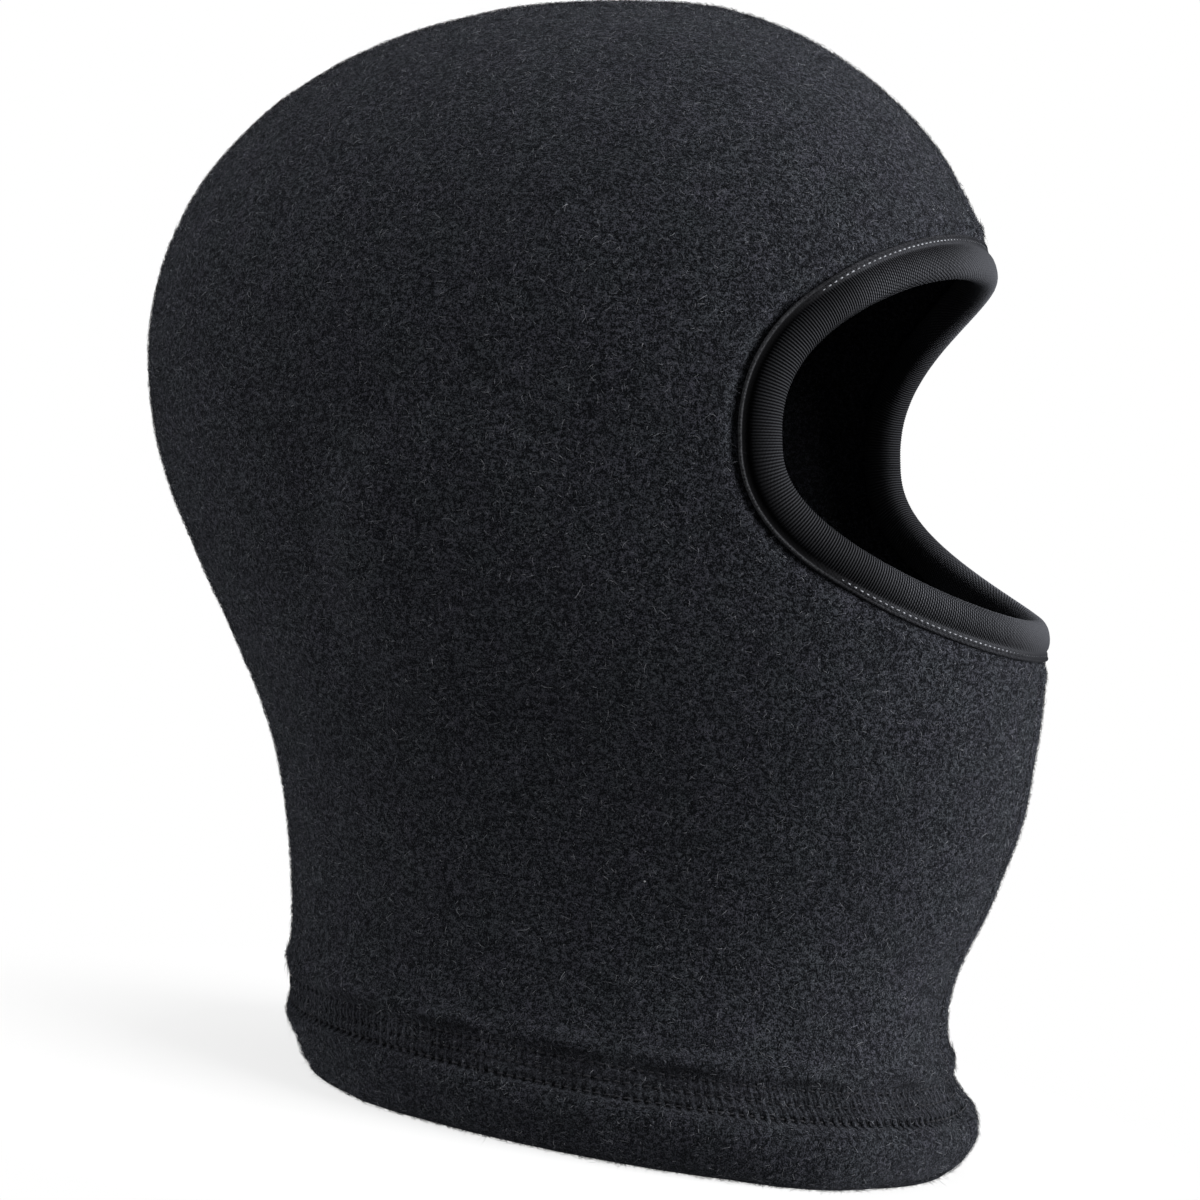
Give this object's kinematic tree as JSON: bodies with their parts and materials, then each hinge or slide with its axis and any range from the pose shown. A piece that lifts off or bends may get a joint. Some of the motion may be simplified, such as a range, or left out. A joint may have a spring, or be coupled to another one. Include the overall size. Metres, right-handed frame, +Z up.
{
  "type": "balaclava",
  "caption": "Pull-on fleece balaclava with one wide face opening bound in ribbed elastic, centre seams and a coverstitched hem.",
  "frame": {"origin": "on the flat underside of the hem, at the middle of the whole width and of the whole length", "axes": "+Z up from the hem to the crown; the face looks along -Y; +X is the wearer's left"},
  "size_m": [0.16, 0.2284, 0.262],
  "materials": {
    "fleece": "brushed, softly napped charcoal fleece, matt with a pale fuzz at grazing angles",
    "elastic_band": "fine ribbed knit elastic, matt charcoal",
    "topstitch_thread": "light grey spun polyester thread",
    "seam_thread": "black textured polyester thread",
    "label_ribbon": "blank white satin ribbon"
  },
  "bodies": {
    "hood": {"right_panel": "fleece", "left_panel": "fleece", "face_binding": "elastic_band", "binding_stitch": "topstitch_thread", "binding_join_stitch": "seam_thread", "hem_stitch_upper": "seam_thread", "hem_stitch_middle": "seam_thread", "hem_stitch_lower": "seam_thread", "hem_looper_thread": "seam_thread", "crown_seam_thread": "seam_thread", "throat_seam_thread": "seam_thread"},
    "label": {"care_label": "label_ribbon"}
  },
  "joints": [
    {"name": "label_flap", "type": "hinge", "parent": "hood", "child": "label", "pos_m": [0, 0.04834, 0.04], "axis": [0, 0.1979, 0.9802], "range_deg": [-60, 60]}
  ]
}
